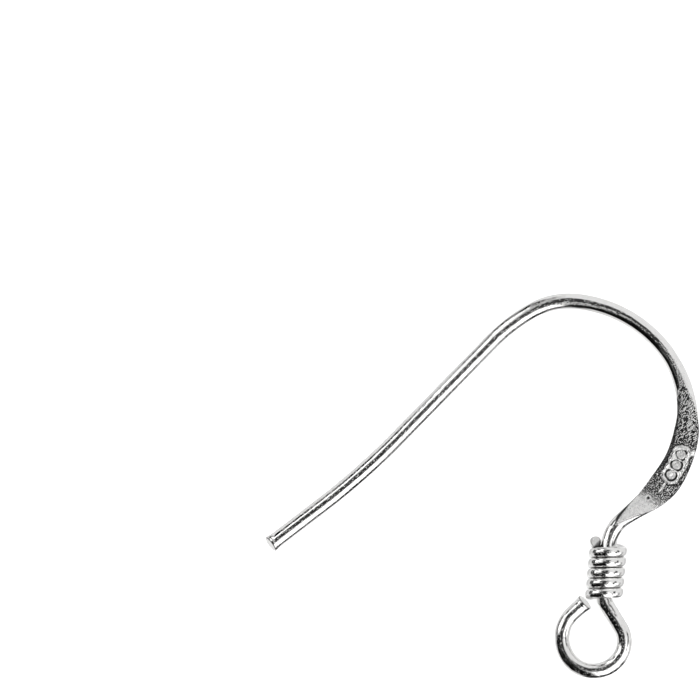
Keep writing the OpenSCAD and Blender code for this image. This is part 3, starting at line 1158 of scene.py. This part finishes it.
def tent_glow(turn, tilt):
    """Brightness of the tent. A later card covers the ones before it."""
    glow = np.full(turn.shape, TENT_GLOW)
    for turn_from, turn_to, tilt_from, tilt_to, soft, card in CARDS:
        middle, half = (turn_from + turn_to) / 2, (turn_to - turn_from) / 2
        away = np.abs((turn - middle + 180) % 360 - 180)
        wide = soft / np.maximum(np.sin(np.radians(tilt)), LEAST_SINE)
        share = 1 - np.clip((away - half + wide) / (2 * wide), 0, 1) if half < 180 else 1.0
        share = share * eased(tilt, tilt_from - soft, tilt_from + soft)
        share = share * faded(tilt, tilt_to - soft, tilt_to + soft)
        glow = glow + (card - glow) * share
    return glow


def add_tent():
    tilts = np.linspace(*TENT_TILTS, TENT_ROWS)
    tilt, turn = np.meshgrid(tilts, np.arange(TENT_COLUMNS), indexing="ij")
    t, a = np.radians(tilt), np.radians(turn)
    points = np.stack([np.sin(t) * np.cos(a), np.sin(t) * np.sin(a), np.cos(t)], -1) * TENT_R
    first = np.arange(TENT_ROWS - 1)[:, None] * TENT_COLUMNS
    i = (first + np.arange(TENT_COLUMNS)).ravel()
    j = (first + (np.arange(TENT_COLUMNS) + 1) % TENT_COLUMNS).ravel()
    quads = np.stack([i, i + TENT_COLUMNS, j + TENT_COLUMNS, j], 1)
    mesh = bpy.data.meshes.new("tent")
    mesh.from_pydata(points.reshape(-1, 3).tolist(), [], quads.tolist())
    layer = mesh.attributes.new("glow", "FLOAT", "POINT")
    layer.data.foreach_set("value", tent_glow(turn, tilt).astype(np.float32).ravel())
    n = Nodes("tent_light")
    light = n.add("Emission", {"Color": (1, 1, 1, 1), "Strength": n.attribute("glow")})
    n.add("OutputMaterial", {"Surface": light.outputs[0]})
    n.material.cycles.emission_sampling = "NONE"
    mesh.materials.append(n.material)
    tent = bpy.data.objects.new("tent", mesh)
    bpy.context.scene.collection.objects.link(tent)
    # The whole tent tips with the ear wire's lean, twice over, as a reflection does
    tip = np.cross((0, 0, 1), -LINE_SIDE)
    roll = Euler((0, 0, math.radians(ROLL))).to_quaternion()
    tent.rotation_mode = "QUATERNION"
    tent.rotation_quaternion = Quaternion(Vector(tip), 2 * LEAN) @ roll
    tent.visible_camera = False
    tent.visible_diffuse = False
    tent.visible_shadow = False


# The floor lies a hair below the part, so that the two don't share a face
FLOOR_HALF = 2.0
FLOOR_Z = -0.00001
FLOOR_COLOUR = (0.9, 0.9, 0.9, 1)
FLOOR_ROUGH = 0.9
WORLD_COLOUR = (1, 1, 1, 1)
WORLD_STRENGTH = 2.2


def add_floor():
    mesh = bpy.data.meshes.new("floor")
    corners = [(x * FLOOR_HALF, y * FLOOR_HALF, 0) for x, y in ((-1, -1), (1, -1), (1, 1), (-1, 1))]
    mesh.from_pydata(corners, [], [(0, 1, 2, 3)])
    n = Nodes("white_table")
    shader = n.add("BsdfPrincipled", {"Base Color": FLOOR_COLOUR, "Roughness": FLOOR_ROUGH})
    n.add("OutputMaterial", {"Surface": shader.outputs[0]})
    mesh.materials.append(n.material)
    floor = bpy.data.objects.new("floor", mesh)
    floor.location.z = FLOOR_Z
    floor.visible_glossy = False
    bpy.context.scene.collection.objects.link(floor)


def add_world():
    world = bpy.data.worlds.new("studio")
    bpy.context.scene.world = world
    world.use_nodes = True
    background = world.node_tree.nodes["Background"]
    background.inputs["Color"].default_value = WORLD_COLOUR
    background.inputs["Strength"].default_value = WORLD_STRENGTH


add_camera()
add_tent()
add_floor()
add_world()
bpy.context.scene.view_settings.view_transform = "Standard"
